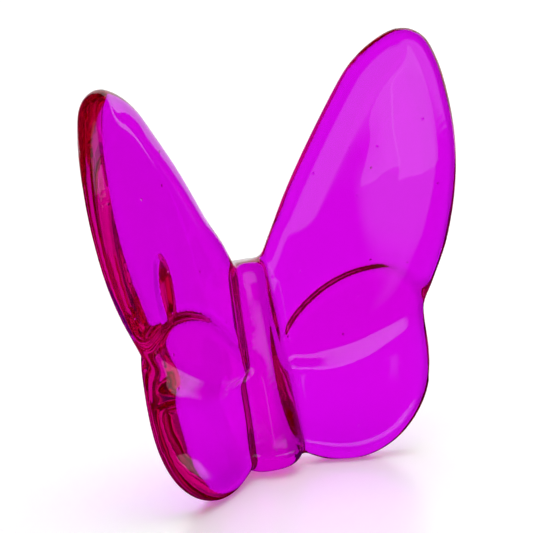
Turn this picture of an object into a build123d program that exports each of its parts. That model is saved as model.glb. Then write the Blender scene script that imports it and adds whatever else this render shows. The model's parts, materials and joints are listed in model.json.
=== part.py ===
"""Butterfly ornament pressed in solid coloured glass.

Millimetres, +Z up, front towards -Y, mirror plane X = 0, standing on Z = 0.
The body leans back and the wings sweep forward from it. Places on a wing are
given as a reach out along the wing and a rise along the leaning body.
"""

import os

from build123d import *

os.makedirs("parts", exist_ok=True)

# Stance
lean_angle = 16.2
sweep_angle = 25.0
hinge_setback = -2.35
hinge_sink = 0.95

# Body
body_length = 33.5
body_foot_diameter = 10.7
body_taper_angle = 2.4
foot_rise = 0.9
foot_rounding = 3.2
top_rounding = 1.6

# Forewing
forewing_thickness = 4.1
forewing_rounding = 1.9
forewing_root_reach = 1.4
forewing_start_reach = 3.4
forewing_start_rise = 33.5
forewing_start_angle = 62.4
leading_radius = 141.0
shoulder_radius = 18.0
tip_radius = 5.0
outer_radius = 26.3
flank_radius = 47.6
corner_radius = 7.4
trailing_radius = 24.6
leading_turn_angle = 12.3
shoulder_turn_angle = 32.7
tip_turn_angle = 87.1
outer_turn_angle = 14.2
flank_turn_angle = 41.2
corner_turn_angle = 17.4
trailing_turn_angle = 52.6

# Hindwing
hindwing_thickness = 4.1
hindwing_rounding = 1.9
hindwing_step = 1.5
hindwing_root_reach = 2.4
hindwing_start_reach = 4.6
hindwing_start_rise = 21.2
hindwing_start_angle = 54.2
crown_radius = 19.3
cheek_radius = 6.8
side_radius = 56.5
lower_radius = 14.9
under_radius = 13.7
inner_radius = 15.1
crown_turn_angle = 57.0
cheek_turn_angle = 83.4
side_turn_angle = 10.4
lower_turn_angle = 50.5
under_turn_angle = 59.6
inner_turn_angle = 19.6

# Leaning axes that all pieces share
hinge_foot = Vector(0, hinge_setback, -hinge_sink)
body_up = Vector(0, 0, 1).rotate(Axis.X, -lean_angle)
wing_out = Vector(1, 0, 0).rotate(Axis.Z, -sweep_angle).rotate(Axis.X, -lean_angle)
wing_front = Vector(0, -1, 0).rotate(Axis.Z, -sweep_angle).rotate(Axis.X, -lean_angle)
body_plane = Plane(origin=hinge_foot, x_dir=(1, 0, 0), z_dir=body_up)
wing_plane = Plane(origin=hinge_foot, x_dir=wing_out, z_dir=wing_front)

# Faces of the two wings, measured forward of the hinge plane
forewing_front = forewing_thickness / 2
hindwing_front = forewing_front - hindwing_step
hindwing_back = hindwing_front - hindwing_thickness
lap_level = (forewing_front + hindwing_back) / 2

forewing_rim = [
    (leading_radius, leading_turn_angle),
    (shoulder_radius, shoulder_turn_angle),
    (tip_radius, tip_turn_angle),
    (outer_radius, outer_turn_angle),
    (flank_radius, flank_turn_angle),
    (corner_radius, corner_turn_angle),
    (trailing_radius, trailing_turn_angle),
]
hindwing_rim = [
    (crown_radius, crown_turn_angle),
    (cheek_radius, cheek_turn_angle),
    (side_radius, side_turn_angle),
    (lower_radius, lower_turn_angle),
    (under_radius, under_turn_angle),
    (inner_radius, inner_turn_angle),
]


def wing_plate(start, start_angle, root_reach, rim, front, thickness, rounding):
    """A plate whose rim is a clockwise run of tangent arcs, closed by straight lines at the root."""
    first_way = Vector(1, 0).rotate(Axis.Z, start_angle)
    lead_in = (start.X - root_reach) / first_way.X
    with BuildPart() as plate:
        with BuildSketch(wing_plane.offset(front)):
            with BuildLine():
                root_line = Line(start - first_way * lead_in, start)
                root_start = root_line @ 0
                last = root_line
                for radius, turn in rim:
                    last = JernArc(last @ 1, last % 1, radius, -turn)
                last_way = last % 1
                lead_out = (root_reach - (last @ 1).X) / last_way.X
                Polyline(last @ 1, (last @ 1) + last_way * lead_out, root_start)
            make_face()
        extrude(amount=-thickness)
        root = plate.faces().filter_by(Plane(wing_plane.origin, z_dir=wing_out)).edges()
        rims = plate.edges().filter_by(lambda edge: edge not in root)
        fillet(rims.filter_by(wing_plane), radius=rounding)
    return plate.part


# Body
with BuildPart() as body:
    with BuildSketch(body_plane.offset(foot_rise)):
        Circle(body_foot_diameter / 2)
    extrude(amount=body_length - foot_rise, taper=body_taper_angle)
    ends = body.faces().sort_by(Axis(hinge_foot, body_up))
    fillet(ends[0].edges(), radius=foot_rounding)
    ends = body.faces().sort_by(Axis(hinge_foot, body_up))
    fillet(ends[-1].edges(), radius=top_rounding)
    split(bisect_by=Plane.XY, keep=Keep.TOP)

# Whole plates of the right wings
forewing_plate = wing_plate(
    Vector(forewing_start_reach, forewing_start_rise),
    forewing_start_angle,
    forewing_root_reach,
    forewing_rim,
    forewing_front,
    forewing_thickness,
    forewing_rounding,
)
hindwing_plate = wing_plate(
    Vector(hindwing_start_reach, hindwing_start_rise),
    hindwing_start_angle,
    hindwing_root_reach,
    hindwing_rim,
    hindwing_front,
    hindwing_thickness,
    hindwing_rounding,
)

# Rear part of the hindwing plate, which laps behind the forewing
with BuildPart() as hindwing_lap:
    add(hindwing_plate)
    split(bisect_by=wing_plane.offset(lap_level), keep=Keep.BOTTOM)

# Right forewing
with BuildPart() as right_forewing:
    add(forewing_plate)
    add(hindwing_lap.part, mode=Mode.SUBTRACT)
    add(body.part, mode=Mode.SUBTRACT)

# Right hindwing, filling what the forewing and the body leave of its plate
with BuildPart() as right_hindwing:
    add(hindwing_plate)
    add(right_forewing.part, mode=Mode.SUBTRACT)
    add(body.part, mode=Mode.SUBTRACT)
    split(bisect_by=Plane.XY, keep=Keep.TOP)

# Left wings, the mirror images
with BuildPart() as left_forewing:
    add(mirror(right_forewing.part, about=Plane.YZ, mode=Mode.PRIVATE))

with BuildPart() as left_hindwing:
    add(mirror(right_hindwing.part, about=Plane.YZ, mode=Mode.PRIVATE))

# Finished pieces
body.part.label = "body"
right_forewing.part.label = "right_forewing"
left_forewing.part.label = "left_forewing"
right_hindwing.part.label = "right_hindwing"
left_hindwing.part.label = "left_hindwing"
export_step(body.part, "parts/body.step")
export_step(right_forewing.part, "parts/right_forewing.step")
export_step(left_forewing.part, "parts/left_forewing.step")
export_step(right_hindwing.part, "parts/right_hindwing.step")
export_step(left_hindwing.part, "parts/left_hindwing.step")
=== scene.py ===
# Butterfly ornament in solid magenta glass, photographed on a white sweep
import json
import math

import bpy
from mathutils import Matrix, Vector
from mathutils.kdtree import KDTree

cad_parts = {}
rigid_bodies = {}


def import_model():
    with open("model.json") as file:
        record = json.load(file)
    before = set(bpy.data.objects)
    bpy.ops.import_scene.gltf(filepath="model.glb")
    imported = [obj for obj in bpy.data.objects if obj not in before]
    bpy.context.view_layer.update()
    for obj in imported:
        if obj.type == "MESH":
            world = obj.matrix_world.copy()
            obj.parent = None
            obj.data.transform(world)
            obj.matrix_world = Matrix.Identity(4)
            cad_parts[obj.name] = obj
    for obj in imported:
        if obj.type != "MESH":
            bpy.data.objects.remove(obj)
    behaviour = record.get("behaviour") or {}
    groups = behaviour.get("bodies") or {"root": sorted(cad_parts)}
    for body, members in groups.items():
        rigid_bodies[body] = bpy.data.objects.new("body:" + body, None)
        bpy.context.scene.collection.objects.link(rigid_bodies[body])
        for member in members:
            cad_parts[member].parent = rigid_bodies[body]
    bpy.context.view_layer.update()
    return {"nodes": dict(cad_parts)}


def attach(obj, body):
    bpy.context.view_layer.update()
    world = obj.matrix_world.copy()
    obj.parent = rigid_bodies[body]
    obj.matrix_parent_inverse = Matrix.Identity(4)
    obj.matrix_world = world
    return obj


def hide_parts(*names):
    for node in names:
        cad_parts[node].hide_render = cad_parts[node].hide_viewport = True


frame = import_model()
scene = bpy.context.scene
mm = 0.001
print("frame loaded:", ", ".join(frame["nodes"]))


def ramp(value, limits):
    # 0 at the first limit, 1 at the second and even in between
    return min(1, max(0, (value - limits[0]) / (limits[1] - limits[0])))


def mirrorPlace(place):
    return Vector((-place.x, place.y, place.z))


def aimFrom(azimuth, elevation):
    # the way out to a camera or lamp, and the turn that aims it back at the glass
    azimuth, elevation = math.radians(azimuth), math.radians(elevation)
    way = Vector((
        math.sin(azimuth) * math.cos(elevation),
        -math.cos(azimuth) * math.cos(elevation),
        math.sin(elevation),
    ))
    return way, (math.pi / 2 - elevation, 0, azimuth)


def selectOnly(*things):
    bpy.ops.object.select_all(action="DESELECT")
    for thing in things:
        thing.select_set(True)
    bpy.context.view_layer.objects.active = things[-1]


def hexColour(code):
    shares = [int(code[i:i + 2], 16) / 255 for i in (1, 3, 5)]
    linear = [s / 12.92 if s <= 0.04045 else ((s + 0.055) / 1.055) ** 2.4 for s in shares]
    return (*linear, 1)


def addNode(tree, kind, settings=None, links=None):
    # settings: a socket's name or number, or a property, to a value
    # links: a socket's name or number to another node's output
    node = tree.nodes.new(kind)
    for key, value in (settings or {}).items():
        if isinstance(key, int) or key in node.inputs:
            node.inputs[key].default_value = value
        else:
            setattr(node, key, value)
    for key, output in (links or {}).items():
        tree.links.new(output, node.inputs[key])
    return node


def addModifier(thing, kind, **settings):
    modifier = thing.modifiers.new(kind.title(), kind)
    for key, value in settings.items():
        setattr(modifier, key, value)
    bpy.context.view_layer.objects.active = thing
    bpy.ops.object.modifier_apply(modifier=modifier.name)


# Camera: where the photograph was taken from, fitted to the outline of the glass
cameraView = {
    "azimuth": -36.0,
    "elevation": 20.4,
    "distance": 439.5 * mm,
    "target": Vector((-1.55, -2.30, 33.51)) * mm,
    "lens": 198.0,
    "nearClip": 10 * mm,
}
towardCamera, turn = aimFrom(cameraView["azimuth"], cameraView["elevation"])
bpy.ops.object.camera_add(
    location=cameraView["target"] + towardCamera * cameraView["distance"],
    rotation=turn,
)
camera = bpy.context.object
camera.data.lens = cameraView["lens"]
camera.data.clip_start = cameraView["nearClip"]
scene.camera = camera
print("camera placed")


# Glass: the five solids are one pour, so they become one skin with fire-polished creases
# a tilt is the cosine between the surface and the way that its wing faces
butterflyGlass = {
    "weld": 0.01 * mm,
    "voxel": 0.335 * mm,
    "smoothing": 0.5,
    "facing": Vector((-0.4226, -0.8703, 0.2529)),  # the way the right wings face
    "rimTilt": 0.35,
    "bodyReach": 7.5 * mm,  # closer to the middle a wing has its root, and no rim
    "crownHeight": 0.14 * mm,
    "crownReach": 6.0 * mm,
    "crownTilt": (0.7, 1.0),
    "frontTilt": (0.2, 0.7),
    "shoulderReach": 2.4 * mm,  # how far in from the rim the front begins to slope off
    "shoulderDrop": 0.3 * mm,
    "outerReach": 4.4 * mm,  # the same along the outer rims, low down
    "outerDrop": 1.05 * mm,
    "outerWay": (0.35, 0.75),  # how squarely such a rim faces away from the body
    "outerHeight": (45 * mm, 31 * mm),  # where that sets in on the way down a forewing
    "leadingReach": 5.0 * mm,  # the same along the forewings' leading rims
    "leadingDrop": 0.72 * mm,
    "leadingWay": (0.1, 0.5),  # how squarely such a rim faces the body
    "meetingWay": (-0.6, -0.3),  # no shoulder where a rim faces the other wing of its side
    "creaseRadius": 0.6 * mm,
    "firstSmooth": 4,
    "swollenSmooth": 10,
    "lastSmooth": 8,
    "notch": Vector((24.5, -7.6, 24.5)) * mm,
    "notchReach": (9.0 * mm, 4.5 * mm),
    "notchSmooth": 60,
    # in mm out from the middle and up from the floor; a tilt of -2 takes in front and back
    "softPatches": {
        "trailingRims": {"side": (7, 26), "height": (11, 28), "fade": 3, "tilt": -0.2},
        "bodyColumn": {"side": (-3.9, 3.9), "height": (4, 29), "fade": 2, "tilt": -2},
    },
    "softSmooth": 120,
    "waveLength": 10.0 * mm,
    "faceWave": 0.03 * mm,
    "rimWave": 0.2 * mm,
    "rimWaveTilt": (1.0, 0.9),
    # flaws in the back: a dent behind the left forewing and a groove down the body, in mm
    # the dent is steep at one side, by its ramp, and runs out at the other
    "flaws": {
        "wingDent": {
            "top": (-21.2, 1.2, 38.6),
            "foot": (-21.2, -1.6, 27.6),
            "width": 2.5,
            "depth": 1.2,
            "ramp": 3,
        },
        "bodyGroove": {
            "top": (3.35, 7.0, 21.5),
            "foot": (4.15, 0.9, -1.0),
            "width": 0.9,
            "depth": 0.4,
            "ramp": 0,
        },
    },
    "backWay": 0.5,  # how squarely the surface faces the back where a flaw may be
}
nodeNames = ["body", "left_forewing", "right_forewing", "left_hindwing", "right_hindwing"]


def reskin(thing, iterations=0):
    addModifier(thing, "REMESH", mode="VOXEL", voxel_size=butterflyGlass["voxel"])
    if iterations:
        addModifier(thing, "SMOOTH", factor=butterflyGlass["smoothing"], iterations=iterations)


def polishWing(wing, facing):
    # the polished faces stand a little proud in the middle and fall away to the rim
    reskin(wing)
    middle = sum(v.co.dot(facing) for v in wing.data.vertices) / len(wing.data.vertices)
    # side -1 is the back half of the rim, and side 1 the front half
    rims = {side: [v for v in wing.data.vertices
                   if abs(v.normal.dot(facing)) < butterflyGlass["rimTilt"]
                   and (v.co.dot(facing) - middle) * side > 0
                   and abs(v.co.x) > butterflyGlass["bodyReach"]] for side in (-1, 1)}
    trees = {}
    for side, vertices in rims.items():
        trees[side] = KDTree(len(vertices))
        for i, v in enumerate(vertices):
            trees[side].insert(v.co - facing * v.co.dot(facing), i)
        trees[side].balance()
    outwards = [v.normal.copy() for v in rims[1]]
    crown = wing.vertex_groups.new(name="crown")
    for v in wing.data.vertices:
        side = 1 if v.normal.dot(facing) > 0 else -1
        place = v.co - facing * v.co.dot(facing)
        away = min(trees[side].find(place)[2] / butterflyGlass["crownReach"], 1)
        share = 1 - (1 - away) ** 2
        share *= ramp(abs(v.normal.dot(facing)), butterflyGlass["crownTilt"])
        crown.add([v.index], share, "REPLACE")
    addModifier(wing, "DISPLACE", strength=butterflyGlass["crownHeight"], mid_level=0.0,
                vertex_group="crown")
    # the front slopes off to the rim in a polished shoulder, but not where the wings meet
    isForewing = "forewing" in wing.name
    moves = []
    for v in wing.data.vertices:
        tilt = v.normal.dot(facing)
        nearest, away = trees[1].find(v.co - facing * v.co.dot(facing))[1:]
        # the leading shoulders are the widest
        if tilt <= butterflyGlass["frontTilt"][0] or away > butterflyGlass["leadingReach"]:
            continue
        outward = outwards[nearest]
        aside = outward.x * math.copysign(1, v.co.x)
        low = ramp(v.co.z, butterflyGlass["outerHeight"]) if isForewing else 1
        shares = {
            "outer": ramp(aside, butterflyGlass["outerWay"]) * low,
            "leading": ramp(-aside, butterflyGlass["leadingWay"]) if isForewing else 0,
        }
        shares["shoulder"] = 1 - shares["outer"] - shares["leading"]
        reach, drop = (sum(butterflyGlass[rim + key] * share for rim, share in shares.items())
                       for key in ("Reach", "Drop"))
        share = max(0, 1 - away / reach) * ramp(tilt, butterflyGlass["frontTilt"])
        share *= ramp(outward.z if isForewing else -outward.z, butterflyGlass["meetingWay"])
        moves.append((v, facing * share * drop))
    for v, move in moves:
        v.co -= move


copies = []
for name in nodeNames:
    selectOnly(frame["nodes"][name])
    bpy.ops.object.duplicate()
    bpy.ops.object.parent_clear(type="CLEAR_KEEP_TRANSFORM")
    copy = bpy.context.object
    bpy.ops.object.mode_set(mode="EDIT")
    bpy.ops.mesh.select_all(action="SELECT")
    bpy.ops.mesh.remove_doubles(threshold=butterflyGlass["weld"])
    bpy.ops.object.mode_set(mode="OBJECT")
    facing = butterflyGlass["facing"]
    if "wing" in name:
        polishWing(copy, mirrorPlace(facing) if "left" in name else facing)
    copies.append(copy)
print("wings polished")

selectOnly(*copies)
bpy.ops.object.join()
glass = bpy.context.object
glass.name = "butterfly_glass"
glass.data.name = "butterfly_glass"
# swelling the skin and drawing it back fills the creases as fire polishing does
reskin(glass, butterflyGlass["firstSmooth"])
addModifier(glass, "DISPLACE", strength=butterflyGlass["creaseRadius"], mid_level=0.0)
reskin(glass, butterflyGlass["swollenSmooth"])
addModifier(glass, "DISPLACE", strength=-butterflyGlass["creaseRadius"], mid_level=0.0)
reskin(glass, butterflyGlass["lastSmooth"])
# the step between the wings melts away towards the notch at their outer rims
# and the trailing rims and the body's column are polished softer than the rest
notch = glass.vertex_groups.new(name="notch")
soft = glass.vertex_groups.new(name="soft")
rims = glass.vertex_groups.new(name="rims")
for v in glass.data.vertices:
    facing, place = butterflyGlass["facing"], butterflyGlass["notch"]
    if v.co.x < 0:
        facing, place = mirrorPlace(facing), mirrorPlace(place)
    tilt = v.normal.dot(facing)
    notch.add([v.index], ramp((v.co - place).length, butterflyGlass["notchReach"]), "REPLACE")
    share = 0
    for patch in butterflyGlass["softPatches"].values():
        inside = min(min(measure - low * mm, high * mm - measure) for measure, (low, high) in (
            (abs(v.co.x), patch["side"]), (v.co.z, patch["height"])))
        if tilt > patch["tilt"]:
            share = max(share, inside / (patch["fade"] * mm))
    soft.add([v.index], min(1, share), "REPLACE")
    rims.add([v.index], ramp(abs(tilt), butterflyGlass["rimWaveTilt"]), "REPLACE")
for name in ("notch", "soft"):
    addModifier(glass, "SMOOTH", factor=butterflyGlass["smoothing"],
                iterations=butterflyGlass[name + "Smooth"], vertex_group=name)
for name, flaw in butterflyGlass["flaws"].items():
    top, foot = Vector(flaw["top"]) * mm, Vector(flaw["foot"]) * mm
    middle, axis = (top + foot) / 2, (top - foot) / 2
    dent = glass.vertex_groups.new(name=name)
    for v in glass.data.vertices:
        along = (v.co - middle).dot(axis) / axis.length_squared
        across = (v.co - middle - axis * along) / (flaw["width"] * mm)
        inside = max(0, 1 - along ** 2 - across.length ** 2)
        if flaw["ramp"]:
            inside = min(1, inside * flaw["ramp"]) * (1 - across.x) / 2
        if v.normal.y > butterflyGlass["backWay"] and inside > 0:
            dent.add([v.index], inside, "REPLACE")
    addModifier(glass, "DISPLACE", strength=-flaw["depth"] * mm, mid_level=0.0,
                vertex_group=name)
# the slow waves that hand polishing leaves, faint on the faces and plain along the rims
waves = bpy.data.textures.new("polished_waves", "CLOUDS")
waves.noise_scale = butterflyGlass["waveLength"]
waves.noise_depth = 0
for height, group in ((butterflyGlass["faceWave"], ""), (butterflyGlass["rimWave"], "rims")):
    addModifier(glass, "DISPLACE", texture=waves, texture_coords="LOCAL", strength=height,
                mid_level=0.5, vertex_group=group)
glass.vertex_groups.clear()
bpy.ops.object.shade_smooth()
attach(glass, "root")
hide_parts(*nodeNames)
print("glass skin:", len(glass.data.polygons), "faces")


# Full-lead crystal, pressed and then polished: clear, saturated magenta that deepens to red
glassLook = {
    "tint": "#DA24FF",
    "depth": "#FE00F4",
    "density": 500.0,  # per metre of glass
    "ior": 1.55,
    "waveLength": 9.0 * mm,  # slow polishing waves, too shallow to model
    "waveDepth": 0.01 * mm,
    "bubbleSpacing": 4.0 * mm,  # pinhead bubbles and specks that break the surface
    "bubbleRadius": 0.25 * mm,
    "bubbleDepth": 0.15 * mm,
}
glassMaterial = bpy.data.materials.new("magenta_lead_crystal")
glassMaterial.use_nodes = True
tree = glassMaterial.node_tree
tree.nodes.clear()
place = addNode(tree, "ShaderNodeTexCoord").outputs["Object"]
waves = addNode(tree, "ShaderNodeTexNoise", {
    "Scale": 1 / glassLook["waveLength"],
    "Detail": 1.0,
}, {"Vector": place})
polished = addNode(tree, "ShaderNodeBump", {
    "Strength": 1.0,
    "Distance": glassLook["waveDepth"],
}, {"Height": waves.outputs["Fac"]})
cells = addNode(tree, "ShaderNodeTexVoronoi", {"Scale": 1 / glassLook["bubbleSpacing"]}, {
    "Vector": place,
})
bubbles = addNode(tree, "ShaderNodeMapRange", {
    "interpolation_type": "SMOOTHSTEP",
    "From Max": glassLook["bubbleRadius"] / glassLook["bubbleSpacing"],
}, {"Value": cells.outputs["Distance"]})
pitted = addNode(tree, "ShaderNodeBump", {
    "Strength": 1.0,
    "Distance": glassLook["bubbleDepth"],
}, {"Height": bubbles.outputs["Result"], "Normal": polished.outputs["Normal"]})
surface = addNode(tree, "ShaderNodeBsdfPrincipled", {
    "Base Color": hexColour(glassLook["tint"]),
    "Roughness": 0.0,
    "IOR": glassLook["ior"],
    "Transmission Weight": 1.0,
}, {"Normal": pitted.outputs["Normal"]})
depth = addNode(tree, "ShaderNodeVolumeAbsorption", {
    "Color": hexColour(glassLook["depth"]),
    "Density": glassLook["density"],
})
addNode(tree, "ShaderNodeOutputMaterial", links={
    "Surface": surface.outputs["BSDF"],
    "Volume": depth.outputs["Volume"],
})
glass.data.materials.clear()
glass.data.materials.append(glassMaterial)
print("glass material made")


# Floor: a glossy white sheet that keeps the shadow and the glow under the glass
floorLook = {
    "size": 600 * mm,
    "colour": "#FAFAFA",
    "roughness": 0.33,
    "ior": 3.0,
    "glow": 0.08,  # lifts the open floor to the white of the backdrop
    "paintedPoolCentre": (12, -40),  # centre of the painted pool of light on the floor that the glass mirrors, in mm
    "paintedPoolSize": (25, 21),
    "paintedPoolEdge": 0.35,
    "paintedRearWay": (0.5, 0.87, 0),  # far behind the glass the mirrored floor is painted bright again
    "paintedRearStart": 105 * mm,
    "paintedRearFull": 165 * mm,
}
bpy.ops.mesh.primitive_plane_add(size=floorLook["size"])
floor = bpy.context.object
floor.name = "white_floor"
floorMaterial = bpy.data.materials.new("white_acrylic_sheet")
floorMaterial.use_nodes = True
tree = floorMaterial.node_tree
tree.nodes.clear()
rays = addNode(tree, "ShaderNodeLightPath")
glow = addNode(tree, "ShaderNodeMath", {"operation": "MULTIPLY", 1: floorLook["glow"]}, {
    0: rays.outputs["Is Camera Ray"],
})
surface = addNode(tree, "ShaderNodeBsdfPrincipled", {
    "Base Color": hexColour(floorLook["colour"]),
    "Roughness": floorLook["roughness"],
    "IOR": floorLook["ior"],
    "Emission Color": hexColour("#FFFFFF"),
}, {"Emission Strength": glow.outputs["Value"]})
# in the glass's reflections the floor shows a painted pool of light in front of the object and
# painted shade, a black floor, beyond it
place = addNode(tree, "ShaderNodeTexCoord").outputs["Object"]
centre, reach = floorLook["paintedPoolCentre"], floorLook["paintedPoolSize"]
fitted = addNode(tree, "ShaderNodeMapping", {
    "Location": (-centre[0] / reach[0], -centre[1] / reach[1], 0),
    "Scale": (1 / (reach[0] * mm), 1 / (reach[1] * mm), 1),
}, {"Vector": place})
away = addNode(tree, "ShaderNodeVectorMath", {"operation": "LENGTH"}, {
    0: fitted.outputs["Vector"],
})
pool = addNode(tree, "ShaderNodeMapRange", {
    "interpolation_type": "SMOOTHSTEP",
    "From Min": 1 + floorLook["paintedPoolEdge"] / 2,
    "From Max": 1 - floorLook["paintedPoolEdge"] / 2,
}, {"Value": away.outputs["Value"]})
behind = addNode(tree, "ShaderNodeVectorMath", {
    "operation": "DOT_PRODUCT",
    1: floorLook["paintedRearWay"],
}, {0: place})
rear = addNode(tree, "ShaderNodeMapRange", {
    "interpolation_type": "SMOOTHSTEP",
    "From Min": floorLook["paintedRearStart"],
    "From Max": floorLook["paintedRearFull"],
}, {"Value": behind.outputs["Value"]})
paintedFloorLight = addNode(tree, "ShaderNodeMath", {"operation": "MAXIMUM"}, {
    0: pool.outputs["Result"], 1: rear.outputs["Result"]})
# for glossy rays the floor turns diffuse with this painted light as its colour: white in the pool
# and far behind, painted black shade elsewhere
shade = addNode(tree, "ShaderNodeBsdfDiffuse", links={"Color": paintedFloorLight.outputs["Value"]})
bounced = addNode(tree, "ShaderNodeMath", {"operation": "SUBTRACT", "use_clamp": True}, {
    0: rays.outputs["Is Glossy Ray"],
    1: rays.outputs["Is Transmission Ray"],
})
mirrored = addNode(tree, "ShaderNodeMixShader", links={
    "Fac": bounced.outputs["Value"],
    1: surface.outputs["BSDF"],
    2: shade.outputs["BSDF"],
})
addNode(tree, "ShaderNodeOutputMaterial", links={"Surface": mirrored.outputs["Shader"]})
floor.data.materials.append(floorMaterial)
print("floor laid")


# Studio: a white backdrop behind, and a dark room with softboxes in front
# each panel is bright where a direction, times its facing, comes above the edge
studio = {
    "panels": {
        "backdrop": {"facing": (0.587, 0.81, 0), "edge": 0.70, "full": 0.72, "light": 1.0},
        "behindCamera": {"facing": (-0.587, -0.81, 0), "edge": 0.70, "full": 0.72, "light": 0.35},
        "reflected": {"facing": (0.788, 0.616, 0), "edge": 0.70, "full": 0.72, "light": 1.0},
        "wallLeft": {"facing": (1, 0, 0), "edge": -0.245, "full": -0.235, "light": 1.0},
        "wallRight": {"facing": (-1, 0, 0), "edge": 0.17, "full": 0.19, "light": 1.0},
        "wallFoot": {"facing": (0, 0, 1), "edge": 0.105, "full": 0.165, "light": 0.5},
        "stripFoot": {"facing": (0.0125, 0.3259, 1), "edge": -0.14, "full": -0.09, "light": 0.7},
        "stripFront": {"facing": (-0.13, -0.99, 0), "edge": 0.74, "full": 0.83, "light": 1.0},
        "overhead": {"facing": (0.1, 0.14, 0.985), "edge": 0.85, "full": 0.97, "light": 3.9},
    },
    "fill": 0.45,
    "floorGlow": 4.5,  # the glass gathers light onto the floor behind its shadow
    "glowColour": "#E4FFFF",
    "room": 0.12,
    # side by side in front, where the right forewing mirrors them in its outer half
    "softboxes": {
        "narrow": {
            "azimuth": -12.15,
            "elevation": 20.3,
            "width": 13 * mm,
            "height": 165 * mm,
            "power": 0.004,
        },
        "wide": {
            "azimuth": -9.15,
            "elevation": 20.0,
            "width": 60 * mm,
            "height": 165 * mm,
            "power": 0.02,
        },
    },
    "softboxDistance": 700 * mm,
    # light runs along inside a wing for some forty reflections before it leaves by the rim
    "bounces": 48,
}
world = bpy.data.worlds.new("studio")
scene.world = world
world.use_nodes = True
tree = world.node_tree
tree.nodes.clear()
direction = addNode(tree, "ShaderNodeTexCoord").outputs["Generated"]
panel = {}
for name, look in studio["panels"].items():
    along = addNode(tree, "ShaderNodeVectorMath", {
        "operation": "DOT_PRODUCT",
        1: look["facing"],
    }, {0: direction})
    panel[name] = addNode(tree, "ShaderNodeMapRange", {
        "interpolation_type": "SMOOTHSTEP",
        "From Min": look["edge"],
        "From Max": look["full"],
        "To Max": look["light"],
    }, {"Value": along.outputs["Value"]}).outputs["Result"]

# what the glass mirrors: the backdrop, a wall to the right of the lens and a strip above it
wall = panel["wallLeft"]
for name in ("wallRight", "wallFoot", "stripFront"):
    wall = addNode(tree, "ShaderNodeMath", {"operation": "MULTIPLY"}, {
        0: wall, 1: panel[name]}).outputs["Value"]
strip = addNode(tree, "ShaderNodeMath", {"operation": "MULTIPLY"}, {
    0: panel["stripFoot"], 1: panel["stripFront"]}).outputs["Value"]
mirroredLight = panel["reflected"]
for light in (wall, strip):
    mirroredLight = addNode(tree, "ShaderNodeMath", {"operation": "MAXIMUM"}, {
        0: mirroredLight, 1: light}).outputs["Value"]
# what shows through it: the backdrop, with dark flags to the left and right
through = addNode(tree, "ShaderNodeMath", {"operation": "MAXIMUM"}, {
    0: panel["backdrop"], 1: panel["behindCamera"]}).outputs["Value"]
through = addNode(tree, "ShaderNodeMath", {"operation": "MAXIMUM", 1: studio["room"]}, {
    0: through}).outputs["Value"]
# what lights the floor: a dim room and a large softbox overhead, a little behind
floorLight = addNode(tree, "ShaderNodeMath", {"operation": "ADD", 1: studio["fill"]}, {
    0: panel["overhead"]}).outputs["Value"]
# and what reaches it through the glass, which is gathered and so brighter
brighter = addNode(tree, "ShaderNodeMath", {
    "operation": "MULTIPLY", 1: studio["floorGlow"]}, {0: floorLight}).outputs["Value"]
gathered = addNode(tree, "ShaderNodeVectorMath", {
    "operation": "SCALE", 0: hexColour(studio["glowColour"])[:3]}, {"Scale": brighter})
rays = addNode(tree, "ShaderNodeLightPath")
ontoFloor = addNode(tree, "ShaderNodeMath", {"operation": "GREATER_THAN", 1: 0.5}, {
    0: rays.outputs["Diffuse Depth"]}).outputs["Value"]
through = addNode(tree, "ShaderNodeMix", {"data_type": "RGBA"}, {
    0: ontoFloor, 6: through, 7: gathered.outputs["Vector"]}).outputs[2]
lit = addNode(tree, "ShaderNodeMix", {"data_type": "RGBA"}, {
    0: rays.outputs["Is Glossy Ray"], 6: floorLight, 7: mirroredLight}).outputs[2]
lit = addNode(tree, "ShaderNodeMix", {"data_type": "RGBA"}, {
    0: rays.outputs["Is Transmission Ray"], 6: lit, 7: through}).outputs[2]
lit = addNode(tree, "ShaderNodeMix", {"data_type": "RGBA", 7: hexColour("#FFFFFF")}, {
    0: rays.outputs["Is Camera Ray"], 6: lit}).outputs[2]
surround = addNode(tree, "ShaderNodeBackground", {"Strength": 1.0}, {"Color": lit})
addNode(tree, "ShaderNodeOutputWorld", links={"Surface": surround.outputs["Background"]})

for softbox in studio["softboxes"].values():
    towardLamp, turn = aimFrom(softbox["azimuth"], softbox["elevation"])
    bpy.ops.object.light_add(
        type="AREA",
        location=towardLamp * studio["softboxDistance"],
        rotation=turn,
    )
    lamp = bpy.context.object
    lamp.data.shape = "RECTANGLE"
    lamp.data.size = softbox["width"]
    lamp.data.size_y = softbox["height"]
    lamp.data.energy = softbox["power"]
    lamp.visible_camera = False
scene.view_settings.view_transform = "Standard"
scene.cycles.max_bounces = studio["bounces"]
scene.cycles.transmission_bounces = studio["bounces"]
scene.cycles.glossy_bounces = studio["bounces"]
print("studio lit")
